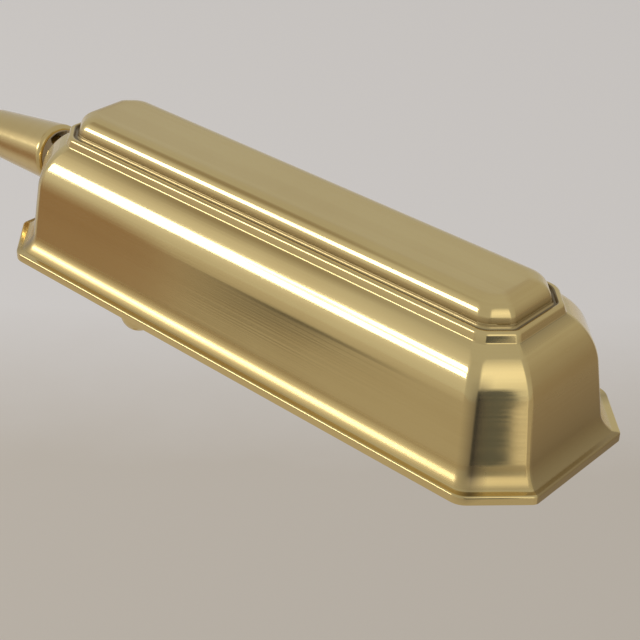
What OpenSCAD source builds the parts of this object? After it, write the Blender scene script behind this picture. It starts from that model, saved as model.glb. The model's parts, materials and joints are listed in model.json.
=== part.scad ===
// Adjustable brass floor lamp: a weighted base, a telescoping mast, a swinging arm
// and a long shade with canted corners that rolls and tilts on its collar.
// Millimetres, +Z up. The origin is under the base, on the mast's axis.
// The arm points along +X, and the shade lies level.

/* [Shade] */
// Length of the shade at its rim
shade_l = 250; // [230:1:300]
// Width of the shade at its rim
shade_w = 81; // [72:1:100]
// Corner cut of the rim, measured along each side
shade_cut = 17.3; // [14:0.1:20]
// How much a corner cut shrinks for each millimetre of inset
cut_taper = 0.448; // [0.38:0.002:0.48]
// Height of the plain lip round the rim
lip_h = 3.3; // [2.4:0.1:5]
// Radius of the hollow moulding above the lip
cove_r = 8.8; // [6:0.1:12]
// Height of the straight wall, along its lean
wall_h = 19.4; // [14:0.1:30]
// Lean of the straight wall in degrees
wall_lean = 7.9; // [3:0.1:12]
// Radius of the round shoulder
shoulder_r = 23.4; // [18:0.1:28]
// Height of the bead that frames the top panel
bead_h = 3.2; // [2:0.1:5]
// Width of the bead
bead_w = 2.6; // [2:0.1:4]
// Edge radius of the raised top panel
panel_r = 7; // [5:0.1:9]
// Thickness of the shade's brass sheet
shade_t = 1.2; // [0.8:0.1:1.6]

/* [Head] */
// Height of the head pivot above the shade's rim
stem_z = 23.9; // [22:0.1:28]
// Distance from the shade's rim to the head pivot
pivot_gap = 6.5; // [6:0.1:12]
// Diameter of the tapered collar at its mouth
collar_mouth_d = 23.8; // [23:0.1:28]
// Diameter of the tapered collar at its small end
collar_end_d = 18.9; // [17.5:0.1:22]
// Length of the tapered collar
collar_l = 44; // [40:1:60]
// How far the collar's mouth stands ahead of the head pivot
collar_lead = 4.5; // [3.5:0.1:5]
// Thickness of the stem's tongue
tongue_t = 6; // [5:0.1:8]
// Diameter of the head pin
head_pin_d = 4; // [3:0.1:5]
// Diameter of the threaded stem in the shade's end
stem_d = 10; // [9:0.1:12]

/* [Lamp holder] */
// Diameter of the lamp holder's outer shell
holder_d = 33; // [32.6:0.1:36]
// Length of the lamp holder's outer shell
holder_l = 40; // [38:0.5:46]
// Diameter of the bulb's screw cap
bulb_cap_d = 26; // [25:0.1:26.5]
// Diameter of the tubular bulb
bulb_d = 32; // [29:0.5:36]
// Length of the bulb's glass
bulb_l = 112; // [80:1:130]
// Length of the switch stem from the lamp holder's axis to the knob's tip
switch_reach = 63; // [55:0.5:80]
// Diameter of the switch stem
switch_stem_d = 5; // [4:0.1:6]
// Diameter of the switch knob
switch_knob_d = 15; // [12:0.5:18]
// Height of the switch knob
switch_knob_h = 16; // [13:0.5:20]

/* [Arm] */
// Distance from the arm pivot to the head pivot
arm_l = 350; // [280:1:420]
// Rise of the arm above level in degrees
arm_rise = 5.3; // [0:0.1:10]
// Outside diameter of the arm tube
arm_d = 12; // [11:0.1:13]
// Wall of the arm tube
arm_t = 1.2; // [0.8:0.1:1.6]
// Height of the arm pivot above the floor
arm_z = 1085; // [1020:1:1200]
// Height of the arm pivot above the fork's bridge
fork_rise = 29; // [28:0.5:34]
// Thickness of the knuckle's eye
eye_t = 8; // [6:0.1:10]
// Outside diameter of the knuckle's eye
eye_d = 19; // [17:0.5:21]
// Diameter of the arm's pivot bolt
bolt_d = 6; // [5:0.1:7]

/* [Mast] */
// Outside diameter of the lower mast tube
mast_d = 22; // [21.4:0.1:26]
// Wall of the lower mast tube
mast_t = 1.2; // [0.9:0.1:1.4]
// Height of the top of the lower mast tube
mast_top = 690; // [640:1:720]
// Outside diameter of the sliding riser tube
riser_d = 16; // [15.6:0.1:16.6]
// Wall of the sliding riser tube
riser_t = 1.2; // [0.8:0.1:1.3]
// How far the riser slides up before its bush meets the mast's bush
slide_up = 180; // [120:1:220]
// Diameter of the clamp collar on top of the mast
clamp_d = 30; // [28:0.5:34]
// Height of the clamp collar
clamp_h = 40; // [36:1:50]
// Diameter of the lock screw and the knobs' threads
lock_d = 6; // [5:0.1:7]
// Diameter of the lock knob and the tilt knob
knob_d = 21; // [18:0.5:26]
// Length of the lock knob and the tilt knob
knob_l = 13; // [10:0.5:18]

/* [Base] */
// Width of the base across its flats
base_w = 255; // [230:1:300]
// Corner cut of the base, measured along each side
base_cut = 32; // [24:0.5:44]
// Height of the base's lip
base_lip_h = 4; // [3:0.1:6]
// Radius of the hollow moulding on the base
base_cove_r = 9; // [7:0.1:11]
// Radius of the round shoulder on the base
base_shoulder_r = 12; // [8:0.1:16]
// Edge radius of the base's raised panel
base_panel_r = 4; // [3:0.1:6]
// Thickness of the base's brass cover
base_t = 1.5; // [1:0.1:2]
// Thickness of the felt under the base
felt_t = 2; // [1.5:0.1:3]
// Diameter of the flange where the mast meets the base
flange_d = 64; // [50:1:90]
// Height of that flange
flange_h = 16; // [12:0.5:24]
// Diameter of the hollow stud that holds the base together
stud_d = 10; // [9:0.1:12]
// Bore of the power cord's grommet
cord_bore_d = 7.2; // [6:0.1:7.6]

/* [Hidden] */
$fn = 96;

// Clearances: round fits that turn or slide, fixed seats, and open gaps
run_gap = 0.05;
seat_gap = 0.02;
open_gap = 0.4;
// Spare length past a face, so that a cut leaves no skin
over = 1;

// Finishes
brass = [0.66, 0.55, 0.33];
aged_brass = [0.56, 0.44, 0.24];
iron = [0.18, 0.18, 0.19];
steel = [0.62, 0.63, 0.65];
felt = [0.16, 0.24, 0.18];
nylon = [0.88, 0.86, 0.80];
phenolic = [0.10, 0.08, 0.07];
paper = [0.30, 0.24, 0.18];
frosted = [0.95, 0.94, 0.90, 0.8];

// Small details of both mouldings
lip_ledge = 2.3;
cove_sweep = 57;
shoulder_sweep = 57.2;
bead_step = 0.3;
bead_r = 1.1;
bead_steps = 4;
groove_w = 1.45;
groove_share = 0.28;
panel_step = 0.2;
arc_steps = 9;

// Base moulding
base_wall_h = 2;
base_wall_lean = 10;
base_bead_h = 2;
base_bead_w = 3;
base_z = felt_t / 2;

// A round stretch of an outline, as points [x, y] from angle a to angle b
function arc(x, y, r, a, b, steps = arc_steps) =
    [for (i = [0 : steps]) let (t = a + (b - a) * i / steps) [x + r * cos(t), y + r * sin(t)]];

// Where the cove ends, where the shoulder is centred and where the panel's wall stands, as [inset, height]
function cove_centre(lip, cove) = [lip_ledge - cove * cos(cove_sweep), lip + cove * sin(cove_sweep)];
function cove_end(lip, cove, lean) = cove_centre(lip, cove) + cove * [cos(lean), -sin(lean)];
function shoulder_centre(lip, cove, wall, lean, shoulder) =
    cove_end(lip, cove, lean) + wall * [sin(lean), cos(lean)] + shoulder * [cos(lean), -sin(lean)];
function panel_foot(lip, cove, wall, lean, shoulder, bh, bw) =
    shoulder_centre(lip, cove, wall, lean, shoulder)
    + shoulder * [-cos(shoulder_sweep), sin(shoulder_sweep)] + [bead_step + bw + groove_w, bh];

// Round bead with the narrow groove behind it; p is the panel's foot
function bead_and_groove(p, bh, bw) =
    let (dip = groove_share * bh)
    let (r = min(bead_r, 0.9 * (bw - dip)))
    let (back = p.x - groove_w)
    concat(
        arc(back - bw + r, p.y - r, r, 180, 90, bead_steps),
        arc(back - dip, p.y - dip, dip, 90, 0, bead_steps),
        [[p.x, p.y - dip]]
    );

// Stepped moulding as [inset, height] from rim to top panel; t is the depth under the outer face
function moulding(lip, cove, wall, lean, shoulder, bh, bw, panel, t) =
    let (c = cove_centre(lip, cove))
    let (s = shoulder_centre(lip, cove, wall, lean, shoulder))
    let (p = panel_foot(lip, cove, wall, lean, shoulder, bh, bw))
    let (reach = acos(max(0, (s.x - p.x - t) / (shoulder - t))))
    concat(
        [[t, t > 0 ? -over : 0], [t, lip - t]],
        arc(c.x, c.y, cove + t, -cove_sweep, -lean),
        arc(s.x, s.y, shoulder - t, 180 - lean, 180 - (t > 0 ? reach : shoulder_sweep)),
        t > 0 ? [] : bead_and_groove(p, bh, bw),
        arc(p.x + panel, p.y + panel_step, panel - t, 180, 90)
    );

// Four-sided outline with cut corners, at an inset from its rim
function canted(half_l, half_w, cut, inset) =
    let (a = half_l - inset, b = half_w - inset, c = cut - cut_taper * inset)
    [[a, c - b], [a, b - c], [a - c, b], [c - a, b], [-a, b - c], [-a, c - b], [c - a, -b], [a - c, -b]];

// Solid that rises through a moulding's outlines
module loft(half_l, half_w, cut, rise) {
    sides = 8;
    last = len(rise) - 1;
    points = [for (r = rise) for (p = canted(half_l, half_w, cut, r.x)) [p.x, p.y, r.y]];
    walls = [for (i = [0 : last - 1]) for (j = [0 : sides - 1]) let (k = (j + 1) % sides)
        [i * sides + j, (i + 1) * sides + j, (i + 1) * sides + k, i * sides + k]];
    foot = [for (j = [0 : sides - 1]) j];
    roof = [for (j = [sides - 1 : -1 : 0]) last * sides + j];
    polyhedron(points, concat(walls, [foot, roof]), convexity = 6);
}

function shade_rise(t) =
    moulding(lip_h, cove_r, wall_h, wall_lean, shoulder_r, bead_h, bead_w, panel_r, t);
function base_rise(t) =
    moulding(base_lip_h, base_cove_r, base_wall_h, base_wall_lean, base_shoulder_r,
        base_bead_h, base_bead_w, base_panel_r, t);

// Heights worked out from the base up
base_foot = panel_foot(base_lip_h, base_cove_r, base_wall_h, base_wall_lean, base_shoulder_r,
    base_bead_h, base_bead_w);
base_top = base_z + base_foot.y + panel_step + base_panel_r;
weight_inset = base_foot.x + base_panel_r + over;
weight_top = base_top - base_t;
felt_inset = base_t + open_gap;
washer_t = 2;
nut_h = 7;
stud_washer_d = 28;
stud_nut_d = 18;
pocket_d = stud_washer_d + 6;
pocket_top = felt_t + nut_h + washer_t + 2;
plug_h = 24;
stud_bore_d = stud_d - 4;

// Cord inlet in the base's back
grommet_d = cord_bore_d + 2.8;
grommet_head_d = grommet_d + 2.4;
grommet_head_t = 2;
grommet_z = base_z + grommet_head_d / 2 + 0.6;
grommet_in = 12;
channel_w = cord_bore_d + 3;
channel_top = grommet_z + channel_w / 2;

// Mast, riser and their bushes
mast_id = mast_d - 2 * mast_t;
riser_id = riser_d - 2 * riser_t;
mast_bush_h = 30;
mast_bush_z = mast_top - mast_bush_h;
riser_bush_h = 30;
stop_gap = 2;
riser_z = mast_bush_z - slide_up - stop_gap - riser_bush_h;
clamp_skirt = 18;
clamp_z = mast_top - clamp_skirt;
lock_z = mast_top + (clamp_h - clamp_skirt) / 2;
lock_neck = 5;
grub_d = 4;
grub_z = clamp_z + clamp_skirt / 2;
riser_pin_d = 3;

// Swivel: cup, fork and pivot, measured down from the arm pivot
bridge_h = 9;
bridge_d = 25;
swivel_washer_t = 1;
cup_floor = 6;
cup_socket = 28;
cup_rim = 3;
fork_z = arm_z - fork_rise - bridge_h;
cup_top = fork_z - swivel_washer_t;
riser_top = cup_top - cup_floor;
cup_z = riser_top - cup_socket;
spindle_d = 10;
spindle_bore_d = 6;
spindle_nut_h = 6;
spindle_nut_d = riser_id - 2 * open_gap - 0.2;
pivot_washer_t = 1;
ear_t = 5;
ear_in = eye_t / 2 + pivot_washer_t + run_gap;
ear_out = ear_in + ear_t;
bolt_head_d = 14;
bolt_head_h = 4.5;
knob_gap = 0.3;

// Arm: distances along its axis from the arm pivot
stub_d = arm_d + 3;
neck_l = 13.5;
stub_start = eye_d / 2 + neck_l;
stub_end = stub_start + 17;
spigot_l = 18;
neck_h = 12;
wire_d = 4.4;

// Collar: distances along the arm's axis, measured back from the head pivot
collar_back = collar_l - collar_lead;
collar_bore_d = collar_mouth_d - 4.9;
block_back = 9;
slot_back = 7;
arm_end = 11;
retainer_back = 12;
retainer_t = 2.5;
collar_seat = retainer_back + retainer_t + 0.5;
collar_edge_r = 3.5;
mouth_r = 2;
stop_ring_l = 5;
disc_t = 1;
slot_w = tongue_t + 2 * disc_t + 4 * run_gap;
tongue_h = 9;
tongue_r = 6;

// Head: places along the shade, measured from the shade's middle
head_x = arm_l * cos(arm_rise);
head_z = arm_z + arm_l * sin(arm_rise);
shade_x = head_x + pivot_gap + shade_l / 2;
rim_z = head_z - stem_z;
pivot_x = -shade_l / 2 - pivot_gap;
wall_foot = cove_end(lip_h, cove_r, wall_lean);
end_wall = wall_foot.x + (stem_z - wall_foot.y) * tan(wall_lean) - shade_l / 2;
saddle_d = 16;
saddle_t = 2;
stem_flange_t = 1.8;
seat_d = 20;
seat_t = 6;
stem_nut_h = 4;
stem_nut_d = 18;
stem_bore_d = stem_d - 4;
flange_x = end_wall - saddle_t - stem_flange_t;
nut_x = end_wall + shade_t + seat_t;
cap_x = nut_x + stem_nut_h;

// Lamp holder and bulb, along the shade
cap_l = 15;
cap_floor = 1.2;
cap_t = 0.8;
holder_t = 0.6;
holder_x = cap_x + cap_l - 4;
holder_end = holder_x + holder_l;
liner_t = 0.7;
core_x = cap_x + 5.5;
core_end = cap_x + 27;
shell_d = holder_d - 2 * (cap_t + seat_gap);
liner_d = shell_d - 2 * (holder_t + seat_gap);
core_d = liner_d - 2 * (liner_t + seat_gap);
screw_t = 0.5;
screw_d = bulb_cap_d + 0.8;
contact_t = 0.8;
tip_h = 2.5;
bulb_x = core_end + screw_t + contact_t;
bulb_cap_l = 22;
glass_x = bulb_x + tip_h + bulb_cap_l;
glass_t = 0.9;
glass_neck_d = bulb_cap_d - 1.8;
mount_l = 27;
glass_neck_l = 14;
switch_x = cap_x + 21.2;
switch_top = 6;
switch_knob_z = stem_z - switch_reach;

// Frames of the moving parts at rest
module at_shade() { translate([shade_x, 0, rim_z]) children(); }
module along_x(x, z) { translate([x, 0, z]) rotate([0, 90, 0]) children(); }
module on_arm(along) {
    translate([0, 0, arm_z]) rotate([0, 90 - arm_rise, 0]) translate([0, 0, along]) children();
}
module across(y) { translate([0, y, 0]) rotate([90, 0, 0]) children(); }

// Round bar or tube along +Z
module bar(d, h) { cylinder(d = d, h = h); }
module tube(od, id, h) {
    difference() {
        bar(od, h);
        translate([0, 0, -over]) bar(id, h + 2 * over);
    }
}
module turned(outline) { rotate_extrude() polygon(outline); }
module canted_plate(inset, h) { linear_extrude(h) polygon(canted(base_w / 2, base_w / 2, base_cut, inset)); }

// Base
module base_felt() { color(felt) canted_plate(felt_inset, felt_t); }

module base_weight() {
    color(iron) difference() {
        translate([0, 0, felt_t]) canted_plate(weight_inset, weight_top - felt_t);
        bar(stud_d + 2 * open_gap, base_top);
        bar(pocket_d, pocket_top);
        translate([-base_w, -channel_w / 2, 0]) cube([base_w, channel_w, channel_top]);
    }
}

module base_cover() {
    color(brass) difference() {
        translate([0, 0, base_z]) loft(base_w / 2, base_w / 2, base_cut, base_rise(0));
        translate([0, 0, base_z]) loft(base_w / 2, base_w / 2, base_cut, base_rise(base_t));
        bar(stud_d + 2 * open_gap, base_top + over);
        along_x(-base_w / 2 - over, grommet_z) bar(grommet_d + 2 * seat_gap, grommet_in + over);
    }
}

module cord_grommet() {
    head_x = -base_w / 2 - grommet_head_t;
    color(phenolic) difference() {
        union() {
            along_x(head_x, grommet_z) bar(grommet_head_d, grommet_head_t);
            along_x(head_x, grommet_z) bar(grommet_d, grommet_head_t + grommet_in);
        }
        along_x(head_x - over, grommet_z) bar(cord_bore_d, grommet_head_t + grommet_in + 2 * over);
    }
}

module stud_washer() {
    color(steel) translate([0, 0, pocket_top - washer_t])
        tube(stud_washer_d, stud_d + 2 * seat_gap, washer_t);
}

module stud_nut() {
    color(steel) translate([0, 0, pocket_top - washer_t - nut_h]) difference() {
        cylinder(d = stud_nut_d, h = nut_h, $fn = 6);
        translate([0, 0, -over]) bar(stud_d + 2 * seat_gap, nut_h + 2 * over);
    }
}

module mast_stud() {
    stud_z = pocket_top - washer_t - nut_h - 1;
    color(steel) translate([0, 0, stud_z]) tube(stud_d, stud_bore_d, base_top + plug_h - 2 - stud_z);
}

module mast_flange() {
    r = flange_d / 2;
    neck = mast_d / 2 + 3;
    bore = mast_d / 2 + seat_gap;
    foot_h = 3;
    curve = min(r - neck, flange_h - foot_h - 2);
    color(brass) translate([0, 0, base_top]) turned(concat(
        [[bore, 0], [r, 0], [r, foot_h]],
        [[neck + curve + 1.5, foot_h + 0.8]],
        arc(neck + curve, foot_h + 0.8 + curve, curve, -90, -180),
        [[neck, flange_h], [bore, flange_h]]
    ));
}

module mast_tube() { color(brass) translate([0, 0, base_top]) tube(mast_d, mast_id, mast_top - base_top); }

module mast_plug() {
    color(aged_brass) translate([0, 0, base_top])
        tube(mast_id - 2 * seat_gap, stud_d + 2 * seat_gap, plug_h);
}

module mast_bush() {
    color(nylon) translate([0, 0, mast_bush_z])
        tube(mast_id - 2 * seat_gap, riser_d + 2 * run_gap, mast_bush_h);
}

// Clamp collar with its cross holes for the lock screw and the grub screw
module clamp_collar() {
    r = clamp_d / 2;
    edge = 3;
    bore = riser_d / 2 + run_gap;
    seat = mast_d / 2 + seat_gap;
    color(brass) difference() {
        translate([0, 0, clamp_z]) turned(concat(
            [[seat, 0], [r - 1, 0], [r, 1]],
            arc(r - edge, clamp_h - edge, edge, 0, 90),
            [[bore, clamp_h], [bore, clamp_skirt], [seat, clamp_skirt]]
        ));
        translate([0, 0, lock_z]) across(0) bar(lock_d + 2 * run_gap, clamp_d);
        translate([0, 0, grub_z]) across(0) mirror([0, 0, 1]) bar(grub_d + 2 * seat_gap, clamp_d);
    }
}

module collar_grub_screw() {
    slot = 0.8;
    l = (clamp_d - mast_d) / 2 - 0.5;
    color(steel) translate([0, 0, grub_z]) difference() {
        across(mast_d / 2) mirror([0, 0, 1]) bar(grub_d, l);
        translate([-grub_d, mast_d / 2 + l - 1, -slot / 2]) cube([2 * grub_d, 2, slot]);
    }
}

// Lock screw and knob, along -Y from the riser
module lock_screw() {
    start = riser_d / 2 + knob_gap;
    color(steel) translate([0, 0, lock_z]) across(-start)
        bar(lock_d, clamp_d / 2 - start + lock_neck + knob_l - 3);
}

// Thumb knob with a rounded end, pointing along +Z from its inner face
module thumb_knob(bore, deep) {
    r = knob_d / 2;
    hub = r - 3.5;
    hub_h = 2;
    edge = 2.5;
    difference() {
        turned(concat(
            [[0, 0], [hub, 0], [hub, hub_h], [r - 0.8, hub_h], [r, hub_h + 0.8]],
            arc(r - edge, knob_l - edge, edge, 0, 90),
            [[0, knob_l]]
        ));
        translate([0, 0, -over]) bar(bore, deep + over);
    }
}

module lock_knob() {
    color(brass) translate([0, 0, lock_z]) across(-clamp_d / 2 - lock_neck)
        thumb_knob(lock_d + 2 * seat_gap, knob_l - 3);
}

// Riser
module riser_tube() {
    color(brass) difference() {
        translate([0, 0, riser_z]) tube(riser_d, riser_id, riser_top - riser_z);
        translate([0, 0, riser_z + riser_bush_h / 2]) across(riser_d)
            bar(riser_pin_d + 2 * seat_gap, 2 * riser_d);
    }
}

module riser_bush() {
    color(nylon) difference() {
        translate([0, 0, riser_z]) tube(mast_id - 2 * run_gap, riser_d + 2 * seat_gap, riser_bush_h);
        translate([0, 0, riser_z + riser_bush_h / 2]) across(mast_d)
            bar(riser_pin_d + 2 * seat_gap, 2 * mast_d);
    }
}

module riser_pin() {
    l = mast_id - 2 * open_gap;
    color(steel) translate([0, 0, riser_z + riser_bush_h / 2]) across(l / 2) bar(riser_pin_d, l);
}

module swivel_cup() {
    top = bridge_d / 2;
    low = riser_d / 2 + cup_rim;
    h = cup_floor + cup_socket;
    socket = riser_d / 2 + seat_gap;
    bore = spindle_d / 2 + run_gap;
    color(brass) translate([0, 0, cup_z]) turned([
        [socket, 0], [low - 1, 0], [low, 1], [low, 5], [low - 1, 6], [low - 1, h - 12],
        [top, h - 8], [top, h - 1], [top - 1, h], [bore, h], [bore, cup_socket], [socket, cup_socket]
    ]);
}

// Swivel head
module ear_outline(r) {
    union() {
        circle(r);
        translate([-r, -fork_rise - 1]) square([2 * r, fork_rise + 1]);
    }
}

module swivel_fork() {
    r = eye_d / 2;
    spindle_l = bridge_h + swivel_washer_t + cup_floor + swivel_washer_t + spindle_nut_h + 1.5;
    color(brass) difference() {
        union() {
            translate([0, 0, fork_z]) intersection() {
                bar(bridge_d, bridge_h + fork_rise + eye_d);
                union() {
                    bar(bridge_d, bridge_h);
                    for (side = [-1, 1])
                        translate([0, side * (ear_in + ear_t / 2) + ear_t / 2, bridge_h + fork_rise])
                            rotate([90, 0, 0]) linear_extrude(ear_t) ear_outline(r);
                }
            }
            translate([0, 0, fork_z + bridge_h - spindle_l]) bar(spindle_d, spindle_l);
        }
        translate([0, 0, fork_z + bridge_h - spindle_l - over]) bar(spindle_bore_d, spindle_l + 2 * over);
        translate([0, 0, arm_z]) across(bridge_d) bar(bolt_d + 2 * seat_gap, 2 * bridge_d);
    }
}

module swivel_washer() {
    top_od = bridge_d - 2;
    under_z = riser_top - swivel_washer_t;
    color(phenolic) translate([0, 0, cup_top]) tube(top_od, spindle_d + 2 * seat_gap, swivel_washer_t);
    color(phenolic) translate([0, 0, under_z])
        tube(spindle_nut_d, spindle_d + 2 * seat_gap, swivel_washer_t);
}

module swivel_nut() {
    flat = 1;
    z = riser_top - swivel_washer_t - spindle_nut_h;
    color(steel) translate([0, 0, z]) difference() {
        tube(spindle_nut_d, spindle_d + 2 * seat_gap, spindle_nut_h);
        for (side = [0, 180])
            rotate(side) translate([spindle_nut_d / 2 - flat / 2, -spindle_nut_d / 2, -over])
                cube([flat, spindle_nut_d, spindle_nut_h / 2 + over]);
    }
}

module pivot_bolt() {
    dome = 2;
    r = bolt_head_d / 2;
    shank = 2 * ear_out + knob_gap + knob_l - 3;
    color(brass) translate([0, ear_out + bolt_head_h, arm_z]) rotate([90, 0, 0]) turned(concat(
        [[0, 0]],
        arc(r - dome, dome, dome, -90, 0),
        [[r, bolt_head_h], [bolt_d / 2, bolt_head_h]],
        [[bolt_d / 2, bolt_head_h + shank], [0, bolt_head_h + shank]]
    ));
}

module pivot_washers() {
    for (y = [eye_t / 2 + pivot_washer_t + run_gap, -eye_t / 2 - run_gap])
        color(nylon) translate([0, 0, arm_z]) across(y)
            tube(eye_d - 2, bolt_d + 2 * seat_gap, pivot_washer_t);
}

module tilt_knob() {
    color(brass) translate([0, 0, arm_z]) across(-ear_out - knob_gap)
        thumb_knob(bolt_d + 2 * run_gap, knob_l - 2);
}

// Arm
module eye_outline() {
    circle(d = eye_d);
    rotate(arm_rise) translate([0, -neck_h / 2]) square([stub_start + 1, neck_h]);
}

module arm_knuckle() {
    spigot = arm_d - 2 * arm_t - 2 * seat_gap;
    color(brass) difference() {
        union() {
            translate([0, 0, arm_z]) across(eye_t / 2) linear_extrude(eye_t) eye_outline();
            on_arm(stub_start) bar(stub_d, stub_end - stub_start);
            on_arm(stub_end) bar(spigot, spigot_l);
        }
        translate([0, 0, arm_z]) across(eye_t) bar(bolt_d + 2 * run_gap, 2 * eye_t);
        on_arm(stub_start + 2) bar(wire_d, stub_end + spigot_l);
        on_arm(stub_start + 2 + wire_d) rotate([0, 90, 0]) bar(wire_d - 1, stub_d);
    }
}

module arm_tube() {
    color(brass) on_arm(stub_end) tube(arm_d, arm_d - 2 * arm_t, arm_l - arm_end - stub_end);
}

module arm_stop_ring() {
    edge = 1.2;
    r = collar_end_d / 2 - 1.5;
    bore = arm_d / 2 + seat_gap;
    color(brass) on_arm(arm_l - collar_back - knob_gap - stop_ring_l) turned(concat(
        [[bore, 0]],
        arc(r - edge, edge, edge, -90, 0),
        arc(r - edge, stop_ring_l - edge, edge, 0, 90),
        [[bore, stop_ring_l]]
    ));
}

module arm_retainer() {
    color(steel) on_arm(arm_l - retainer_back - retainer_t)
        tube(collar_bore_d - 2 * open_gap, arm_d + 2 * seat_gap, retainer_t);
}

// Tapered collar and its pivot
module tapered_collar() {
    big = collar_mouth_d / 2;
    small = collar_end_d / 2;
    bore = arm_d / 2 + run_gap;
    wide = collar_bore_d / 2;
    step = collar_back - collar_seat;
    edge = min(collar_edge_r, small - bore - open_gap);
    color(brass) on_arm(arm_l - collar_back) turned(concat(
        [[bore, 0]],
        arc(small - edge, edge, edge, -90, 0),
        arc(big - mouth_r, collar_l - mouth_r, mouth_r, 0, 90),
        [[wide, collar_l], [wide, step], [bore, step]]
    ));
}

module pivot_block() {
    front = collar_lead - 0.5;
    color(aged_brass) difference() {
        on_arm(arm_l - block_back) bar(collar_bore_d - 2 * seat_gap, block_back + front);
        on_arm(arm_l - slot_back) translate([-collar_bore_d, -slot_w / 2, 0])
            cube([2 * collar_bore_d, slot_w, slot_back + collar_lead + over]);
        on_arm(arm_l - block_back - over) bar(wire_d, block_back);
        translate([head_x, 0, head_z]) across(collar_bore_d)
            bar(head_pin_d + 2 * seat_gap, 2 * collar_bore_d);
    }
}

// Lies in the block's cross hole, and the collar keeps it there
module head_pin() {
    l = collar_bore_d - 2 * open_gap;
    color(steel) translate([head_x, 0, head_z]) across(l / 2) bar(head_pin_d, l);
}

module friction_discs() {
    for (y = [tongue_t / 2 + run_gap + disc_t, -tongue_t / 2 - run_gap])
        color(nylon) translate([head_x, 0, head_z]) across(y)
            tube(2 * tongue_r, head_pin_d + 2 * seat_gap, disc_t);
}

// Shade
module shade_shell() {
    color(brass) at_shade() difference() {
        loft(shade_l / 2, shade_w / 2, shade_cut, shade_rise(0));
        loft(shade_l / 2, shade_w / 2, shade_cut, shade_rise(shade_t));
        along_x(end_wall - saddle_d, stem_z) bar(stem_d + 2 * seat_gap, 2 * saddle_d);
    }
}

module shade_stem() {
    tongue_l = flange_x - pivot_x;
    wire_x = flange_x - wire_d / 2 + 0.5;
    color(aged_brass) at_shade() difference() {
        union() {
            translate([pivot_x, 0, stem_z]) across(tongue_t / 2) bar(2 * tongue_r, tongue_t);
            translate([pivot_x, -tongue_t / 2, stem_z - tongue_h / 2])
                cube([tongue_l + 1, tongue_t, tongue_h]);
            along_x(flange_x, stem_z) bar(saddle_d, stem_flange_t);
            along_x(flange_x, stem_z) bar(stem_d, cap_x + 4 - flange_x);
        }
        translate([pivot_x, 0, stem_z]) across(tongue_t) bar(head_pin_d + 2 * run_gap, 2 * tongue_t);
        along_x(wire_x - wire_d, stem_z) bar(wire_d, cap_x + 5 + wire_d - wire_x);
        translate([wire_x, 0, stem_z]) bar(wire_d - 1, tongue_h);
    }
}

// Wedge between the stem's flange and the leaning end wall
module stem_saddle() {
    start = flange_x + stem_flange_t;
    color(brass) at_shade() difference() {
        along_x(start, stem_z) bar(saddle_d, 3 * saddle_t);
        loft(shade_l / 2, shade_w / 2, shade_cut, shade_rise(0));
        along_x(start - over, stem_z) bar(stem_d + 2 * seat_gap, 4 * saddle_t + over);
    }
}

// Wedge between the end wall and the nut inside the shade
module stem_seat() {
    color(steel) at_shade() difference() {
        intersection() {
            along_x(end_wall - seat_t, stem_z) bar(seat_d, nut_x - end_wall + seat_t);
            loft(shade_l / 2, shade_w / 2, shade_cut, shade_rise(shade_t));
        }
        along_x(end_wall - 2 * seat_t, stem_z) bar(stem_d + 2 * seat_gap, 4 * seat_t);
    }
}

module stem_nut() {
    color(steel) at_shade() along_x(nut_x, stem_z) difference() {
        cylinder(d = stem_nut_d, h = stem_nut_h, $fn = 6);
        translate([0, 0, -over]) bar(stem_d + 2 * seat_gap, stem_nut_h + 2 * over);
    }
}

// Lamp holder
module holder_cap() {
    r = holder_d / 2;
    edge = 6;
    hole = stem_d / 2 + seat_gap;
    color(brass) at_shade() along_x(cap_x, stem_z) turned(concat(
        [[hole, 0]],
        arc(r - edge, edge, edge, -90, 0),
        [[r, cap_l], [r - cap_t, cap_l]],
        arc(r - edge, edge + cap_floor - cap_t, edge - cap_t, 0, -90),
        [[hole, cap_floor]]
    ));
}

module switch_hole(d) { translate([switch_x, 0, stem_z - holder_d]) bar(d, holder_d); }

module holder_shell() {
    r = shell_d / 2;
    bead = cap_t;
    color(brass) at_shade() difference() {
        along_x(holder_x, stem_z) turned([
            [r - holder_t, 0], [r, 0], [r, holder_l - 3], [r + bead, holder_l - 2], [r + bead, holder_l - 1],
            [r, holder_l], [r - holder_t, holder_l]
        ]);
        switch_hole(switch_stem_d + 2 * open_gap);
    }
}

module holder_liner() {
    color(paper) at_shade() difference() {
        along_x(holder_x, stem_z) tube(liner_d, liner_d - 2 * liner_t, holder_l - 1);
        switch_hole(switch_stem_d + 2 * open_gap);
    }
}

module holder_core() {
    foot_d = core_d - 4;
    mid_x = holder_x + 0.5;
    color(phenolic) at_shade() difference() {
        union() {
            along_x(core_x, stem_z) bar(foot_d, core_end - core_x);
            along_x(mid_x, stem_z) bar(core_d, core_end - mid_x);
        }
        translate([switch_x, 0, stem_z - holder_d]) bar(switch_stem_d + 2 * run_gap, holder_d - switch_top);
    }
}

module screw_shell() {
    color(aged_brass) at_shade() difference() {
        along_x(core_end, stem_z) bar(screw_d + 2 * screw_t, holder_end - core_end - 2);
        along_x(core_end + screw_t, stem_z) bar(screw_d, holder_l);
        along_x(core_end - over, stem_z) bar(2 * wire_d, 2 * over + screw_t);
    }
}

module centre_contact() {
    color(aged_brass) at_shade() along_x(core_end, stem_z)
        bar(2 * wire_d - 2 * open_gap, screw_t + contact_t);
}

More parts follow.
